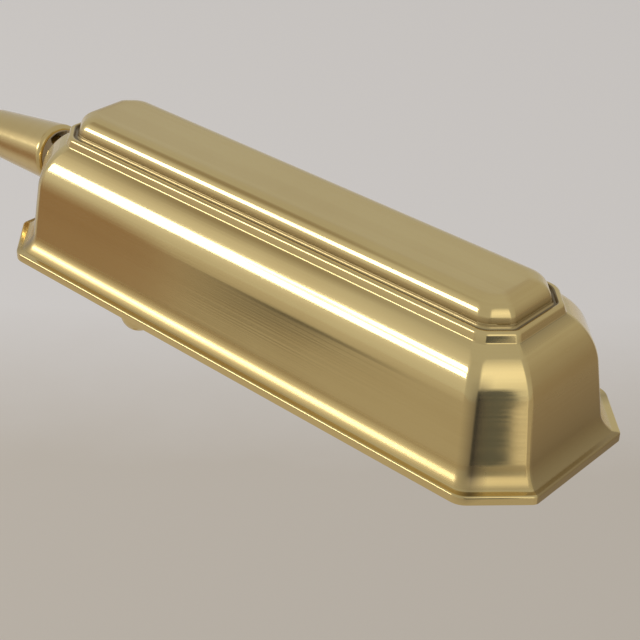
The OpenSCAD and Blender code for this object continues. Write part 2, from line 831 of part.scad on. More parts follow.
// Bulb
module bulb_cap() {
    r = bulb_cap_d / 2;
    thread = 0.7;
    wall = 0.6;
    pitch = 3.6;
    turns = 5;
    flank = [for (i = [0 : turns - 1]) each [[r - thread, 3 + i * pitch], [r, 3 + (i + 0.5) * pitch]]];
    inside = r - thread - wall;
    color(aged_brass) at_shade() along_x(bulb_x + tip_h, stem_z) turned(concat(
        [[0, 0], [inside - 3, 0]],
        flank,
        [[r - thread, bulb_cap_l], [inside, bulb_cap_l], [inside, 3 + wall], [inside - 3, wall], [0, wall]]
    ));
}

module bulb_tip() {
    color(phenolic) at_shade() along_x(bulb_x, stem_z)
        cylinder(d1 = wire_d + 2, d2 = bulb_cap_d - 9, h = tip_h);
}

function glass_outline(inside) =
    let (r = bulb_d / 2 - inside, neck = glass_neck_d / 2 - inside, dome = bulb_d / 2 - 4)
    concat(
        [[neck, inside > 0 ? -over : 0], [neck, 3], [r, glass_neck_l]],
        arc(bulb_d / 2 - dome, bulb_l - dome, dome - inside, 0, 90),
        [[0, bulb_l - inside]]
    );

module bulb_glass() {
    color(frosted) at_shade() along_x(glass_x, stem_z) difference() {
        turned(concat([[0, 0]], glass_outline(0)));
        turned(concat([[0, -over]], glass_outline(glass_t)));
    }
}

// Glass mount inside the bulb, fused into the neck
module bulb_mount() {
    foot = glass_neck_d / 2 - glass_t - seat_gap;
    waist = 3;
    color(frosted) at_shade() along_x(glass_x, stem_z) turned([
        [0, 0], [foot, 0], [foot, 1], [2 * waist, 4], [waist, 12], [waist, mount_l], [0, mount_l]
    ]);
}

// Straight filament on two supports, running along the bulb from its mount
module bulb_filament() {
    d = 1;
    tie_d = 0.8;
    spread = 5;
    start = glass_x + mount_l + seat_gap;
    run = bulb_l - mount_l - bulb_d;
    color(steel) at_shade() {
        for (side = [-1, 1]) translate([0, side * spread, 0]) along_x(start, stem_z) bar(d, run);
        for (x = [start + d, start + run - d]) translate([x, 0, stem_z]) across(spread) bar(tie_d, 2 * spread);
    }
}

// Switch
module switch_stem() {
    color(brass) at_shade() translate([switch_x, 0, switch_knob_z + 4])
        bar(switch_stem_d, switch_reach - switch_top - open_gap - 4);
}

module switch_knob() {
    r = switch_knob_d / 2;
    h = switch_knob_h;
    neck = switch_stem_d / 2 + 1.2;
    color(brass) at_shade() translate([switch_x, 0, switch_knob_z]) difference() {
        turned(concat(
            [[0, 0]],
            arc(0, r, r, -70, 20),
            [[neck + 0.6, h - 3], [neck + 0.6, h - 1], [neck, h], [0, h]]
        ));
        translate([0, 0, 4]) bar(switch_stem_d + 2 * seat_gap, h);
    }
}

base_felt();
base_weight();
base_cover();
cord_grommet();
stud_washer();
stud_nut();
mast_stud();
mast_flange();
mast_tube();
mast_plug();
mast_bush();
clamp_collar();
collar_grub_screw();
lock_screw();
lock_knob();
riser_tube();
riser_bush();
riser_pin();
swivel_cup();
swivel_fork();
swivel_washer();
swivel_nut();
pivot_bolt();
pivot_washers();
tilt_knob();
arm_knuckle();
arm_tube();
arm_stop_ring();
arm_retainer();
tapered_collar();
pivot_block();
head_pin();
friction_discs();
shade_shell();
shade_stem();
stem_saddle();
stem_seat();
stem_nut();
holder_cap();
holder_shell();
holder_liner();
holder_core();
screw_shell();
centre_contact();
bulb_cap();
bulb_tip();
bulb_glass();
bulb_mount();
bulb_filament();
switch_stem();
switch_knob();
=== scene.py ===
import bmesh
import bpy
import json
import math
from mathutils import Matrix, Vector


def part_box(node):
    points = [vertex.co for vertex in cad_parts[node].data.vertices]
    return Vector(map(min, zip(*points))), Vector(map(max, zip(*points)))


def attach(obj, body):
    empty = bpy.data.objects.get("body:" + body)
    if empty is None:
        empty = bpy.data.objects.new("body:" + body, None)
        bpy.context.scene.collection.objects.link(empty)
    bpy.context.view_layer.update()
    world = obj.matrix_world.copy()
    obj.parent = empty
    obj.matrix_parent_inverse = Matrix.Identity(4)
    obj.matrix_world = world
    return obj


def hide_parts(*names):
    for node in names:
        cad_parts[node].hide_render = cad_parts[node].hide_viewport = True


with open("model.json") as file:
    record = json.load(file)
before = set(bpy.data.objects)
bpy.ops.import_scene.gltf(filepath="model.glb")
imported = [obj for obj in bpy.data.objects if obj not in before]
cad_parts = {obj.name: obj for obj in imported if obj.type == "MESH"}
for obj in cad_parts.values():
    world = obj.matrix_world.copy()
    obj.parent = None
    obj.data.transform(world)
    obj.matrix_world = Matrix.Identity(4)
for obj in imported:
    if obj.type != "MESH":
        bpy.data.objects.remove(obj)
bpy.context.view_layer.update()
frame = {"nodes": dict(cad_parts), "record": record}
nodes = frame["nodes"]
scene = bpy.context.scene
scene.view_settings.view_transform = "Standard"
mm = 0.001

shadeLow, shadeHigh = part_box("shade_shell")
shadeMid = Vector(((shadeLow.x + shadeHigh.x) / 2, 0, shadeLow.z))  # middle of the shade, level with its rim

# camera, set from the shade
cameraSet = {
    "place": (0.31605, -0.34045, 0.29152),  # metres from the middle of the shade
    "right": (0.73749, 0.67493, 0.02380),
    "up": (-0.37207, 0.37666, 0.84834),
    "lens": 85.145,
    "sensor": 36.0,
    "clip": (0.02, 60.0),
}


def makeCamera(s):
    data = bpy.data.cameras.new("photoCamera")
    data.sensor_width, data.lens = s["sensor"], s["lens"]
    data.clip_start, data.clip_end = s["clip"]
    cam = bpy.data.objects.new("photoCamera", data)
    scene.collection.objects.link(cam)
    right = Vector(s["right"]).normalized()
    back = right.cross(Vector(s["up"])).normalized()
    turn = Matrix((right, back.cross(right), back)).transposed()
    cam.matrix_world = Matrix.Translation(shadeMid + Vector(s["place"])) @ turn.to_4x4()
    scene.camera = cam


makeCamera(cameraSet)
print("camera set")


class Num:  # a shader value that can stand in a sum
    def __init__(self, tree, socket):
        self.tree, self.socket = tree, socket

    def calc(self, operation, a, b):
        return self.tree.add("ShaderNodeMath", {"operation": operation}, {0: a, 1: b})

    def __add__(self, other):
        return self.calc("ADD", self, other)

    def __radd__(self, other):
        return self.calc("ADD", other, self)

    def __sub__(self, other):
        return self.calc("SUBTRACT", self, other)

    def __rsub__(self, other):
        return self.calc("SUBTRACT", other, self)

    def __mul__(self, other):
        return self.calc("MULTIPLY", self, other)

    def __rmul__(self, other):
        return self.calc("MULTIPLY", other, self)

    def __truediv__(self, other):
        return self.calc("DIVIDE", self, other)

    def __rtruediv__(self, other):
        return self.calc("DIVIDE", other, self)

    def __pow__(self, other):
        return self.calc("POWER", self, other)

    def __abs__(self):
        return self.calc("ABSOLUTE", self, 0.0)

    def clip(self, low=0.0, high=1.0):
        return self.calc("MINIMUM", self.calc("MAXIMUM", self, low), high)


class Tree:  # a node tree with one way to add a node
    def __init__(self, owner):
        owner.use_nodes = True
        self.owner, self.nodes, self.links = owner, owner.node_tree.nodes, owner.node_tree.links
        self.nodes.clear()

    def add(self, kind, settings=None, sockets=None, out=0):
        node = self.nodes.new(kind)
        for key, value in (settings or {}).items():
            setattr(node, key, value)
        for key, value in (sockets or {}).items():
            if isinstance(value, Num):
                self.links.new(value.socket, node.inputs[key])
            else:
                node.inputs[key].default_value = value
        return Num(self, node.outputs[out]) if node.outputs else node

    def place(self, scale=(1, 1, 1), wrap=None):  # along the piece's own wrap where it has one
        if wrap:
            spot = self.add("ShaderNodeUVMap", {"uv_map": wrap})
        else:
            spot = self.add("ShaderNodeTexCoord", out="Object")
        return self.add("ShaderNodeMapping", None, {"Vector": spot, "Scale": scale})

    def axes(self, vector):
        first = self.add("ShaderNodeSeparateXYZ", None, {0: vector})
        return [Num(self, s) for s in first.socket.node.outputs]

    def noise(self, vector, scale, detail=2.0, rough=0.5):
        return self.add("ShaderNodeTexNoise", None,
                        {"Vector": vector, "Scale": scale, "Detail": detail, "Roughness": rough})

    def mix(self, share, a, b):
        return self.add("ShaderNodeMix", {"data_type": "RGBA"}, {0: share, 6: a, 7: b}, 2)

    def bump(self, height, strength, distance):
        return self.add("ShaderNodeBump", None,
                        {"Height": height, "Strength": strength, "Distance": distance})

    def surface(self, sockets):
        shader = self.add("ShaderNodeBsdfPrincipled", None, sockets)
        self.add("ShaderNodeOutputMaterial", None, {"Surface": shader})
        return self.owner


def newTree(name):
    return Tree(bpy.data.materials.new(name))


# stage: one pale floor, an even sky, a long window light beside the shade and soft cards for it to mirror
stageSet = {
    "floorSize": 80.0,
    "floorDrop": 0.0003,
    "floorPale": (0.83, 0.80, 0.795, 1),
    "floorNear": (0.65, 0.595, 0.535, 1),  # warmer towards the camera
    "floorShown": 0.17,  # share of its colour that the floor adds for what looks at it
    "floorRough": 0.85,
    "floorShine": 0.1,
    "nearWay": (0.675, -0.737),  # level way towards the camera
    "nearStart": 1.465,
    "nearBlend": 0.45,
    "mottle": {"scale": 9.0, "detail": 4.0, "amount": 0.06, "ragged": 3.0},
    "sky": (0.475, 0.468, 0.445, 1),
    "window": {"y": -2.2, "x": (-3.3, -0.60), "z": (1.96, 2.72), "bright": 4.6},
    "cards": {  # turn and height in degrees from the shade, soft shares, colour, metres away
        "windowGlow": ((-164.0, -108.0), (-17.0, 50.0), (0.12, 0.5), (0.72, 0.70, 0.66), 4.6),
        "brownCard": ((-160.0, -131.0), (-30.0, 6.0), (0.12, 0.45), (0.30, 0.205, 0.135), 1.5),
        "darkStrip": ((-133.0, -118.5), (-19.5, -13.5), (0.45, 0.20), (0.09, 0.085, 0.07), 1.5),
        "glazingBar": ((-136.0, -110.0), (23.6, 27.2), (0.30, 0.30), (0.25, 0.25, 0.22), 1.5),
        "oliveCard": ((-45.0, -29.0), (-24.0, 19.5), (0.03, 0.10), (0.105, 0.11, 0.112), 0.5),
        "stripCard": ((-29.4, -22.0), (-24.0, 10.0), (0.10, 0.30), (0.70, 0.65, 0.58), 0.5),
        "paleCard": ((-46.0, -12.0), (-10.0, 58.0), (0.30, 0.45), (1.05, 1.02, 0.94), 0.56),
        "umberCard": ((22.0, 74.0), (-42.0, 22.0), (0.30, 0.30), (0.285, 0.245, 0.205), 0.5),
        "roofCard": ((-185.0, -142.0), (30.0, 58.0), (0.35, 0.36), (0.32, 0.28, 0.225), 1.5),
    },
}


def plate(name, corners, face):
    mesh = bpy.data.meshes.new(name)
    mesh.from_pydata(corners, [], [(0, 1, 2, 3)])
    ways = mesh.uv_layers.new(name="across")
    for loop, way in zip(ways.data, ((0, 0), (1, 0), (1, 1), (0, 1))):
        loop.uv = way
    piece = bpy.data.objects.new(name, mesh)
    scene.collection.objects.link(piece)
    mesh.materials.append(face)
    return piece


def makeFloor(s):
    t = newTree("paleFloor")
    x, y = t.axes(t.place())[:2]
    m = s["mottle"]
    mottle = t.noise(t.place(), m["scale"], m["detail"]) * m["amount"] - m["amount"] / 2
    ahead = x * s["nearWay"][0] + y * s["nearWay"][1] + s["nearStart"]
    near = (ahead / s["nearBlend"] + mottle * m["ragged"]).clip()  # nought far from the camera, one near it
    tint = t.mix(near, s["floorPale"], s["floorNear"])
    paths = t.add("ShaderNodeLightPath").socket.node.outputs
    rays = ("Is Camera Ray", "Is Glossy Ray", "Is Transmission Ray")
    looked = sum((Num(t, paths[ray]) for ray in rays), 0.0).clip()
    face = t.surface({
        "Base Color": tint, "Roughness": s["floorRough"] + mottle, "Specular IOR Level": s["floorShine"],
        "Emission Color": t.mix(looked, (0, 0, 0, 1), tint), "Emission Strength": s["floorShown"],
    })
    half = s["floorSize"] / 2
    corners = ((-half, -half), (half, -half), (half, half), (-half, half))
    plate("floor", [corner + (-s["floorDrop"],) for corner in corners], face)


def makeSky(s):
    world = bpy.data.worlds.new("studio")
    scene.world = world
    t = Tree(world)
    back = t.add("ShaderNodeBackground", None, {"Color": s["sky"], "Strength": 1.0})
    t.add("ShaderNodeOutputWorld", None, {"Surface": back})


def makeCards(s):
    for name, (turns, highs, soft, tint, far) in s["cards"].items():
        t = newTree(name)
        u, v = t.axes(t.add("ShaderNodeTexCoord", out="UV"))[:2]
        across = ((0.5 - abs(u - 0.5)) / soft[0]).clip()  # fades at its edges
        upwards = ((0.5 - abs(v - 0.5)) / soft[1]).clip()
        glow = t.add("ShaderNodeEmission", None, {"Color": tint + (1,), "Strength": 1.0})
        clear = t.add("ShaderNodeBsdfTransparent")
        face = t.add("ShaderNodeMixShader", None, {0: across * upwards, 1: clear, 2: glow})
        t.add("ShaderNodeOutputMaterial", None, {"Surface": face})
        corners = []
        for turn, high in ((0, 0), (1, 0), (1, 1), (0, 1)):
            a, e = math.radians(turns[turn]), math.radians(highs[high])
            corners.append(shadeMid + Vector((math.cos(a), math.sin(a), math.tan(e))) * far)
        card = plate(name, corners, t.owner)
        card.visible_camera = card.visible_diffuse = False
        card.visible_shadow = card.visible_transmission = False


def makeWindow(w):
    wide, tall = w["x"][1] - w["x"][0], w["z"][1] - w["z"][0]
    data = bpy.data.lights.new("window", "AREA")
    data.shape, data.size, data.size_y = "RECTANGLE", wide, tall
    data.energy = w["bright"] * math.pi * wide * tall
    lamp = bpy.data.objects.new("window", data)
    scene.collection.objects.link(lamp)
    lamp.location = (sum(w["x"]) / 2, w["y"], sum(w["z"]) / 2)
    lamp.rotation_euler = Vector((0, 1, 0)).to_track_quat("-Z", "Y").to_euler()  # shines across the shade
    lamp.visible_camera = False


makeFloor(stageSet)
makeSky(stageSet)
makeCards(stageSet)
makeWindow(stageSet["window"])
print("stage and light set")

# brass, with polish lines that run along or round the piece
brassSet = {
    "bright": (0.84, 0.665, 0.305, 1),
    "deep": (0.72, 0.535, 0.22, 1),
    "tarnishAndShade": (0.11, 0.08, 0.05, 1),
    "paintedPaleInside": (0.60, 0.52, 0.42, 1),
    "lines": (1.0, 3.0, 0.6),  # scale, detail and roughness of each noise
    "broad": (1.0, 2.0, 0.5),
    "cloud": (18.0, 3.0, 0.55),
    "broadGrain": 0.12,  # the wide bands' share of the grain
    "cloudMid": 0.42,
    "deepBy": {"cloud": 1.2, "broad": 0.9, "lines": 0.6, "dull": 0.6},
    "rough": 0.15,
    "roughBy": {"lines": 0.12, "cloud": 0.06, "dirtAndShade": 0.2, "dull": 0.17, "bore": 0.4},
    "roughRange": (0.05, 0.7),
    "agedGloss": 0.06,
    "lineBump": 0.03,
    "broadBump": 0.5,
    "bumpDeep": 0.0004,
    "lacquer": 0.6,
    "lacquerRough": 0.28,
    "boreSoft": 0.0002,
    "boreDeep": 0.012,
    "boreMetal": 0.1,
}


def boreShare(t, bore, s):  # one inside a bore near its mouth, nought elsewhere
    middle, way, radius = bore
    x, y, z = t.axes(t.place())
    ahead, up = x - middle.x, z - middle.z
    off, along = up * way.x - ahead * way.z, ahead * way.x + up * way.z
    within = ((radius - (off * off + y * y) ** 0.5) / s["boreSoft"]).clip()
    return within * ((along + s["boreDeep"]) / s["boreSoft"]).clip()


def brassFinish(name, grain, rough=0.0, deeper=0.0, aged=False, bore=None, s=brassSet):
    t = newTree(name)
    wrap = "wrap" if aged else None
    wide = tuple(g * s["broadGrain"] for g in grain)
    lines = t.noise(t.place(grain, wrap), *s["lines"])  # fine polish lines
    broad = t.noise(t.place(wide, wrap), *s["broad"])  # wider bands of the same polish
    cloud = t.noise(t.place(), *s["cloud"])  # handling and age
    deepBy, roughBy, metal = s["deepBy"], s["roughBy"], 1.0
    share = (cloud - s["cloudMid"]) * deepBy["cloud"] + (broad - 0.5) * deepBy["broad"]
    share = share + (lines - 0.5) * deepBy["lines"] + deeper
    rub = s["rough"] + rough + (lines - 0.5) * roughBy["lines"] + (cloud - 0.5) * roughBy["cloud"]
    if aged:  # the mesh says where it is tarnished, where shade and dark reflection are painted on, and where the polish is duller
        dirtAndShade = t.add("ShaderNodeAttribute", {"attribute_name": "dirtAndShade"}, out="Fac")
        dull = t.add("ShaderNodeAttribute", {"attribute_name": "dull"}, out="Fac")
        clean = t.mix((share + dull * deepBy["dull"]).clip(), s["bright"], s["deep"])
        tint = t.mix(dirtAndShade, clean, s["tarnishAndShade"])
        rub = rub + dirtAndShade * roughBy["dirtAndShade"] + dull * roughBy["dull"] - s["agedGloss"]
    else:
        tint = t.mix(share.clip(), s["bright"], s["deep"])
    if bore:  # painted pale, duller and hardly metallic inside, a painted lightening of the shade in the mouth
        inside = boreShare(t, bore, s)
        tint, rub = t.mix(inside, tint, s["paintedPaleInside"]), rub + inside * roughBy["bore"]
        metal = 1.0 - inside * (1.0 - s["boreMetal"])
    return t.surface({
        "Base Color": tint, "Metallic": metal, "Roughness": rub.clip(*s["roughRange"]),
        "Coat Weight": s["lacquer"], "Coat Roughness": s["lacquerRough"],
        "Normal": t.bump(lines + broad * s["broadBump"], s["lineBump"], s["bumpDeep"]),
    })


# the shade, in millimetres as the part's source has it
shadeSet = {
    "halfLong": 125.0, "halfWide": 40.5, "cut": 17.3, "taper": 0.448, "sheet": 1.2,
    "lip": 3.3, "ledge": 2.3, "cove": 8.8, "coveSweep": 57.0, "wall": 19.4, "lean": 7.9,
    "shoulder": 23.4, "sweep": 57.2,
    "beadHigh": 3.2, "beadWide": 2.6, "beadStep": 0.3, "beadRound": 1.4, "beadLean": 16.0,
    "grooveWide": 1.45, "grooveShare": 0.28, "panelStep": 0.2, "panel": 7.0,
    "rimSoft": 0.25, "lipSoft": 0.75, "lipTurn": 92.0, "ledgeSoft": 1.2, "footSoft": 1.0, "grooveSoft": 1.35,
    "sideSoft": 7.0, "endSoft": 3.0,
    "steps": {"rim": 3, "lip": 6, "ledge": 4, "hollow": 16, "shoulder": 30, "foot": 5, "bead": 8, "dip": 6,
              "groove": 7, "roof": 16, "fold": 8, "innerHollow": 12, "innerShoulder": 18},
    "dullSides": (0.9, -0.15, 0.1, -0.15),  # end face, cant, long side, cant; the end face's high value also deepens its tint, darker than the sides
    "worn": {  # dirt and dullness up the section
        "lip": (0.0, 0.2), "hollow": (0.0, 1.0), "wall": (0.0, 0.0), "foot": (0.1, 0.2), "bead": (0.0, 0.0),
        "dip": (0.8, 0.4), "groove": (0.3, 0.2), "panelFoot": (0.3, 1.6), "panel": (0.0, 0.0),
    },
    "wearAt": {"dip": -5, "groove": 3, "panelFoot": 5, "panel": 4},  # the point of its arc where each begins
    "dullFade": 1.0,  # height over which the hollow's duller polish ends
    "endDull": 0.5,  # what is duller than this is on an end face
    "endPaintedShade": 0.42, "endRise": 30.0, "endSteep": 1.5,  # painted shade on the end faces, darker towards the bottom
    "beadPaintedShade": 0.4, "beadPaintedShadeLow": 42.5, "beadPaintedShadeHigh": 45.2,  # painted shade on the end faces, in a band just under the bead
    # painted dark reflection along the folds beside the cants, fading out at both ends of its height
    "foldPaintedShade": 0.85, "foldPower": 1.3, "foldReach": 0.3, "foldHigh": 39.0, "foldFade": 7.0,
}


def arc(x, y, r, a, b, steps):
    turns = [math.radians(a + (b - a) * i / steps) for i in range(steps + 1)]
    return [(x + r * math.cos(t), y + r * math.sin(t)) for t in turns]


def landmarks(s):  # middles of the hollow and of the shoulder's bend, then what stands on the shoulder
    sweep, lean, turn = (math.radians(s[key]) for key in ("coveSweep", "lean", "sweep"))
    both = s["cove"] + s["shoulder"]
    coveX, coveY = s["ledge"] - s["cove"] * math.cos(sweep), s["lip"] + s["cove"] * math.sin(sweep)
    bendX = coveX + both * math.cos(lean) + s["wall"] * math.sin(lean)
    bendY = coveY - both * math.sin(lean) + s["wall"] * math.cos(lean)
    lowX, lowY = bendX - s["shoulder"] * math.cos(turn), bendY + s["shoulder"] * math.sin(turn)
    backX = lowX + s["beadStep"] + s["beadWide"]
    return {"cove": (coveX, coveY), "bend": (bendX, bendY), "beadFoot": (lowX, lowY), "beadBack": backX,
            "panelFoot": backX + s["grooveWide"], "top": lowY + s["beadHigh"]}


def roofArc(s, at, depth):
    x, y = at["panelFoot"] + s["panel"], at["top"] + s["panelStep"]
    return arc(x, y, s["panel"] - depth, 180, 90, s["steps"]["roof"])


def innerSection(s):  # inset, height, dirt and dullness from the rim to the top panel
    at, n, depth = landmarks(s), s["steps"], s["sheet"]
    level = (at["bend"][0] - at["panelFoot"] - depth) / (s["shoulder"] - depth)
    reach = math.degrees(math.acos(max(0.0, level)))
    rise = [(depth, s["rimSoft"]), (depth, s["lip"] - depth)]
    rise += arc(*at["cove"], s["cove"] + depth, -s["coveSweep"], -s["lean"], n["innerHollow"])
    rise += arc(*at["bend"], s["shoulder"] - depth, 180 - s["lean"], 180 - reach, n["innerShoulder"])
    return [(x, y, 0.0, 0.0) for x, y in rise + roofArc(s, at, depth)]


def outerSection(s):  # the same for the outer face
    at, n, wear, deg = landmarks(s), s["steps"], s["wearAt"], math.degrees
    (lowX, lowY), topY = at["beadFoot"], at["top"]
    sweep, lean, turn, step = (math.radians(s[key]) for key in ("coveSweep", "lean", "sweep", "beadLean"))
    rim, lipSoft, ledgeSoft, footSoft, turnIn = (
        s[key] for key in ("rimSoft", "lipSoft", "ledgeSoft", "footSoft", "grooveSoft"))
    trim = ledgeSoft * math.tan((math.pi / 2 - sweep) / 2)  # length the ledge's softened corner takes
    lip = arc(rim, rim, rim, 270, 180, n["rim"])
    lip += arc(lipSoft, s["lip"] - lipSoft, lipSoft, 180, s["lipTurn"], n["lip"])
    lip += arc(s["ledge"] - trim, s["lip"] + ledgeSoft, ledgeSoft, -90, -s["coveSweep"], n["ledge"])
    start = deg(trim / s["cove"]) - s["coveSweep"]
    hollow = arc(*at["cove"], s["cove"], start, -s["lean"], n["hollow"])[1:]
    wall = [(hollow[-1][0] + s["dullFade"] * math.sin(lean), hollow[-1][1] + s["dullFade"] * math.cos(lean))]
    cut = footSoft * math.tan((turn - step) / 2)  # length the bead's softened foot takes
    end = 180 - s["sweep"] + deg(cut / s["shoulder"])
    wall += arc(*at["bend"], s["shoulder"], 180 - s["lean"], end, n["shoulder"])
    footX = lowX - cut * math.sin(turn) - footSoft * math.cos(turn)
    footY = lowY - cut * math.cos(turn) + footSoft * math.sin(turn)
    foot = arc(footX, footY, footSoft, -s["sweep"], -s["beadLean"], n["foot"])[1:]
    r, dip = s["beadRound"], s["grooveShare"] * s["beadHigh"]
    face = (s["beadHigh"] - r * (1 - math.sin(step))) / math.cos(step)  # length of the bead's leaning face
    beadX = lowX + face * math.sin(step) + r * math.cos(step)
    bead = arc(beadX, topY - r, r, 180 - s["beadLean"], 90, n["bead"])
    bead += arc(at["beadBack"] - dip, topY - dip, dip, 90, 0, n["dip"])
    groove = arc(at["panelFoot"] - turnIn, topY - dip + turnIn, turnIn, -90, 0, n["groove"])
    roof = roofArc(s, at, 0.0)
    parts = {"lip": lip, "hollow": hollow, "wall": wall, "foot": foot, "bead": bead[:wear["dip"]],
             "dip": bead[wear["dip"]:] + groove[:wear["groove"]],
             "groove": groove[wear["groove"]:wear["panelFoot"]],
             "panelFoot": groove[wear["panelFoot"]:] + roof[:wear["panel"]], "panel": roof[wear["panel"]:]}
    return [(x, y) + s["worn"][key] for key, points in parts.items() for x, y in points]


def outline(s, inset):  # eight sides with softened folds, how dull each point is and how much painted dark reflection it carries at the folds
    a, b = s["halfLong"] - inset, s["halfWide"] - inset
    c = s["cut"] - s["taper"] * inset
    corners = [Vector(p) for p in ((a, c - b), (a, b - c), (a - c, b), (c - a, b),
                                   (-a, b - c), (-a, c - b), (c - a, -b), (a - c, -b))]
    ring = []
    for i, p in enumerate(corners):
        cantBehind, cantAhead = i % 4 == 2, i % 4 == 3  # the other folds are beside an end face
        back = (corners[i - 1] - p).normalized()
        ahead = (corners[(i + 1) % 8] - p).normalized()
        half = back.angle(ahead) / 2
        soft = s["sideSoft"] if cantBehind or cantAhead else s["endSoft"]
        centre = p + (back + ahead).normalized() * soft / math.sin(half)
        first = p + back * soft / math.tan(half) - centre
        turn = math.pi - 2 * half
        fold = []
        for k in range(s["steps"]["fold"] + 1):
            share = k / s["steps"]["fold"]
            worn = s["dullSides"][(i - 1) % 4] * (1 - share) + s["dullSides"][i % 4] * share
            toCant = share if cantAhead else 1 - share if cantBehind else 0.0
            dirtAndShade = s["foldPaintedShade"] * toCant ** s["foldPower"]  # painted dark reflection at the fold, worst beside the cant
            fold.append((centre + Matrix.Rotation(turn * share, 2) @ first, worn, dirtAndShade))
        reach = (c * math.sqrt(2) - (s["endSoft"] + s["sideSoft"]) / math.tan(half)) * s["foldReach"]
        if cantBehind:
            fold.insert(0, (fold[0][0] + back * reach, fold[0][1], 0.0))
        if cantAhead:
            fold.append((fold[-1][0] + ahead * reach, fold[-1][1], 0.0))
        ring += fold
    return ring


def clip(value):
    return max(0.0, min(1.0, value))


def loftedShell(name, s, place, materials):
    mesh = bmesh.new()
    dirtAndShade, dull = mesh.verts.layers.float.new("dirtAndShade"), mesh.verts.layers.float.new("dull")
    wrap = mesh.loops.layers.uv.new("wrap")
    rim = [point[0] for point in outline(s, 0)]
    girth = [0.0]
    for p, q in zip(rim, rim[1:] + rim[:1]):
        girth.append(girth[-1] + (q - p).length * mm)

    def rise(points):
        rings, climb, last = [], 0.0, None
        for x, y, grime, blunt in points:
            climb += math.hypot(x - last[0], y - last[1]) * mm if last else 0.0
            last, ring = (x, y), []
            # share of painted shade on the end faces, darkest at the bottom
            low = clip(s["endSteep"] - y / s["endRise"] * s["endSteep"])
            # painted shade in a band just under the bead
            high = (y - s["beadPaintedShadeLow"]) / (s["beadPaintedShadeHigh"] - s["beadPaintedShadeLow"])
            beadPaintedShade = s["beadPaintedShade"] * high if 0 < high < 1 else 0.0
            # how much of the folds' painted dark reflection shows at this height
            shown = clip(min((s["foldHigh"] - y) / s["foldFade"], y / s["foldFade"]))
            for p, worn, foldPaintedShade in outline(s, x):
                v = mesh.verts.new((p.x, p.y, y))
                v[dirtAndShade], v[dull] = grime + foldPaintedShade * shown, worn + blunt
                # end faces take the painted shade, and are duller towards the bottom too
                if worn > s["endDull"]:
                    v[dirtAndShade] += s["endPaintedShade"] * low + beadPaintedShade
                    v[dull] = worn + max(blunt, low)
                ring.append(v)
            rings.append((ring, climb))
        return rings

    def skin(rings, index):
        for (low, lowUp), (high, highUp) in zip(rings, rings[1:]):
            for i in range(len(low)):
                k = (i + 1) % len(low)
                face = mesh.faces.new((low[i], low[k], high[k], high[i]))
                face.material_index = index
                spots = ((girth[i], lowUp), (girth[i + 1], lowUp), (girth[i + 1], highUp), (girth[i], highUp))
                for loop, spot in zip(face.loops, spots):
                    loop[wrap].uv = spot

    def lid(ring, index):
        face = mesh.faces.new(ring)
        face.material_index = index
        for loop in face.loops:
            loop[wrap].uv = loop.vert.co.xy * mm

    outer, inner = rise(outerSection(s)), rise(innerSection(s))
    skin(outer, 0)
    skin(inner, 1)
    skin([inner[0], outer[0]], 0)
    lid(outer[-1][0], 0)
    lid(inner[-1][0], 1)
    bmesh.ops.recalc_face_normals(mesh, faces=mesh.faces)
    data = bpy.data.meshes.new(name)
    mesh.to_mesh(data)
    mesh.free()
    data.transform(Matrix.Translation(place) @ Matrix.Scale(mm, 4))
    for m in materials:
        data.materials.append(m)
    data.polygons.foreach_set("use_smooth", [True] * len(data.polygons))
    piece = bpy.data.objects.new(name, data)
    scene.collection.objects.link(piece)
    weigh = piece.modifiers.new("evenNormals", "WEIGHTED_NORMAL")
    weigh.mode, weigh.weight, weigh.keep_sharp = "FACE_AREA", 50, False
    return piece


shadeBrass = brassFinish("shadeBrass", (6.0, 900.0, 900.0), aged=True)
innerBrass = brassFinish("innerBrass", (9.0, 500.0, 500.0), rough=0.20, deeper=0.3)
shadePiece = loftedShell("shade_polished", shadeSet, shadeMid, [shadeBrass, innerBrass])
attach(shadePiece, "shade")
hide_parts("shade_shell")
print("shade made")

# the base cover, the same moulding on a square
baseSet = dict(shadeSet, halfLong=127.5, halfWide=127.5, cut=32.0, sheet=1.5,
               lip=4.0, cove=9.0, wall=2.0, lean=10.0, shoulder=12.0, beadHigh=2.0, beadWide=3.0, panel=4.0,
               footSoft=0.35, grooveSoft=0.7, sideSoft=3.0, endSoft=3.0,
               dullSides=(0.35, 0.35, 0.35, 0.35), foldPaintedShade=0.0)
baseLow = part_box("base_cover")[0]
baseBrass = brassFinish("baseBrass", (8.0, 700.0, 700.0), aged=True)
basePiece = loftedShell("base_polished", baseSet, Vector((0, 0, baseLow.z)), [baseBrass, innerBrass])
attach(basePiece, "stand")
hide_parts("base_cover")
print("base made")

# other finishes
roll = next(j for j in frame["record"]["behaviour"]["joints"] if j["name"] == "head_roll")
mouthRadius = 10.1 * mm  # a little wider than the collar's bore
collarMouth = (Vector(roll["pos_m"]), Vector(roll["axis"]), mouthRadius)
mastBrass = brassFinish("mastBrass", (60.0, 60.0, 5.0), rough=0.02)
turnedBrass = brassFinish("turnedBrass", (14.0, 14.0, 1500.0), rough=0.02)
armBrass = brassFinish("armBrass", (1400.0, 14.0, 14.0), rough=0.02)
# its mouth is painted pale inside, a painted lightening of the shade there
collarBrass = brassFinish("collarBrass", (1400.0, 14.0, 14.0), rough=0.04, deeper=0.5, bore=collarMouth)
knobBrass = brassFinish("knobBrass", (14.0, 1400.0, 14.0), rough=0.03)
agedBrass = brassFinish("agedBrass", (300.0, 300.0, 300.0), rough=0.14, deeper=0.45)


def toned(tone, by):
    return tuple(c * by for c in tone[:3]) + (1,)


